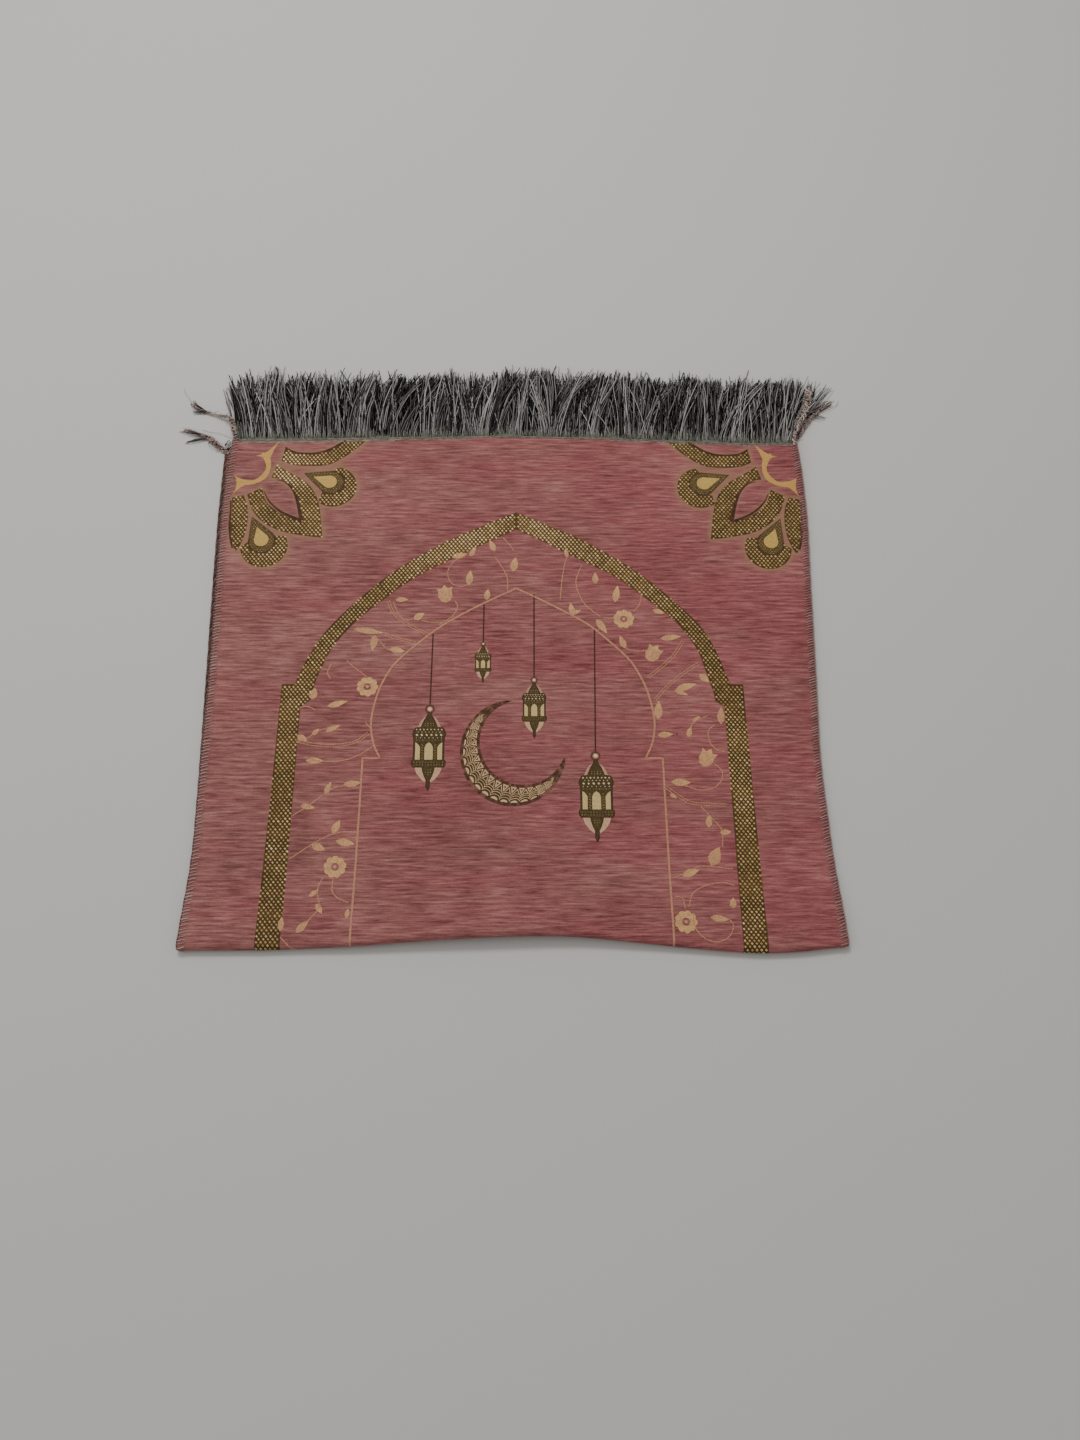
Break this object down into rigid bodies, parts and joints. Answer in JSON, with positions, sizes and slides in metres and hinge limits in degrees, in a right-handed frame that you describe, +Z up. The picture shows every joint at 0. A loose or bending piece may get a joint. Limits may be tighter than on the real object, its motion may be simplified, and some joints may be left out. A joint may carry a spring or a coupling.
{
  "type": "prayer rug",
  "caption": "Woven chenille prayer rug folded once across its middle, face out, lying flat, with a yarn fringe at the two free ends and overlocked sides that end in short thread tails.",
  "frame": {"origin": "centre of the base of the folded rug's box, on the floor it lies on", "axes": "+X across the rug along its fold, +Y from the fold towards the fringed ends, +Z up from the floor"},
  "size_m": [0.7761, 0.7033, 0.019],
  "materials": {
    "rose_chenille": "soft cut-pile chenille, matte",
    "grey_yarn": "loose polyester yarn, slight sheen",
    "charcoal_yarn": "loose polyester yarn, slight sheen",
    "overlock_thread": "twisted sewing thread, satin"
  },
  "bodies": {
    "root": {"rug_cloth": "rose_chenille", "fringe_upper": "grey_yarn", "fringe_lower": "charcoal_yarn", "edge_binding_left": "overlock_thread", "edge_binding_right": "overlock_thread"}
  },
  "joints": []
}
